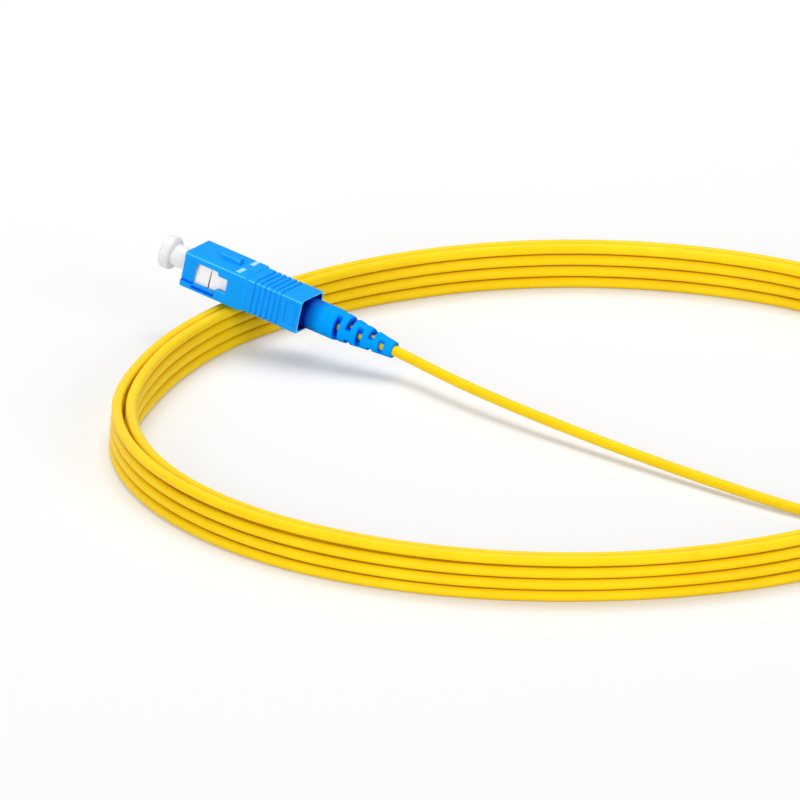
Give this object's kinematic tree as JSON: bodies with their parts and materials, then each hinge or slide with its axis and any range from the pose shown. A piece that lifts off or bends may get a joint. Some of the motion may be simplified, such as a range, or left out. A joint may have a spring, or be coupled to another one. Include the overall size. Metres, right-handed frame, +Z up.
{
  "type": "simplex fibre patch cord",
  "caption": "Single-fibre patch cord in a yellow jacket, wound in a flat ring, with a blue push-pull square connector, slotted boot and clear dust cap on each end.",
  "frame": {"origin": "centre of the coil, on the surface that it lies on", "axes": "+Z up, out of the coil's plane; +Y the way the second connector's nose points; the first connector lies across the coil on the -X, +Y side"},
  "size_m": [0.1754, 0.1754, 0.0198],
  "materials": {
    "jacket_yellow": "satin",
    "grip_blue": "satin",
    "boot_blue": "satin",
    "frame_white": "satin",
    "cap_clear": "translucent",
    "ferrule_ceramic": "polished",
    "nickel_metal": "nickel plated",
    "crimp_metal": "satin",
    "spring_steel": "drawn wire",
    "buffer_white": "matte"
  },
  "bodies": {
    "cord": {"coil": "jacket_yellow", "lead_a": "jacket_yellow", "lead_b": "jacket_yellow", "plug_frame_a": "frame_white", "spring_a": "spring_steel", "stop_body_a": "nickel_metal", "crimp_ring_a": "crimp_metal", "boot_a": "boot_blue", "plug_frame_b": "frame_white", "spring_b": "spring_steel", "stop_body_b": "nickel_metal", "crimp_ring_b": "crimp_metal", "boot_b": "boot_blue"},
    "grip_a": {"grip_a": "grip_blue"},
    "ferrule_a": {"ferrule_a": "ferrule_ceramic", "ferrule_flange_a": "nickel_metal", "fibre_a": "buffer_white"},
    "cap_a": {"dust_cap_a": "cap_clear"},
    "grip_b": {"grip_b": "grip_blue"},
    "ferrule_b": {"ferrule_b": "ferrule_ceramic", "ferrule_flange_b": "nickel_metal", "fibre_b": "buffer_white"},
    "cap_b": {"dust_cap_b": "cap_clear"}
  },
  "joints": [
    {"name": "grip_slide_a", "type": "slide", "parent": "cord", "child": "grip_a", "axis": [0.8443, -0.4953, -0.2045], "range_m": [0, 0.002]},
    {"name": "ferrule_slide_a", "type": "slide", "parent": "cord", "child": "ferrule_a", "axis": [0.8443, -0.4953, -0.2045], "range_m": [0, 0.001], "stiffness_N_per_m": 1500, "springref_m": -0.005, "deforming": ["spring_a"]},
    {"name": "cap_pull_a", "type": "slide", "parent": "ferrule_a", "child": "cap_a", "axis": [-0.8443, 0.4953, 0.2045], "range_m": [0, 0.012]},
    {"name": "grip_slide_b", "type": "slide", "parent": "cord", "child": "grip_b", "axis": [0, -1, 0], "range_m": [0, 0.002]},
    {"name": "ferrule_slide_b", "type": "slide", "parent": "cord", "child": "ferrule_b", "axis": [0, -1, 0], "range_m": [0, 0.001], "stiffness_N_per_m": 1500, "springref_m": -0.005, "deforming": ["spring_b"]},
    {"name": "cap_pull_b", "type": "slide", "parent": "ferrule_b", "child": "cap_b", "axis": [0, 1, 0], "range_m": [0, 0.012]}
  ]
}
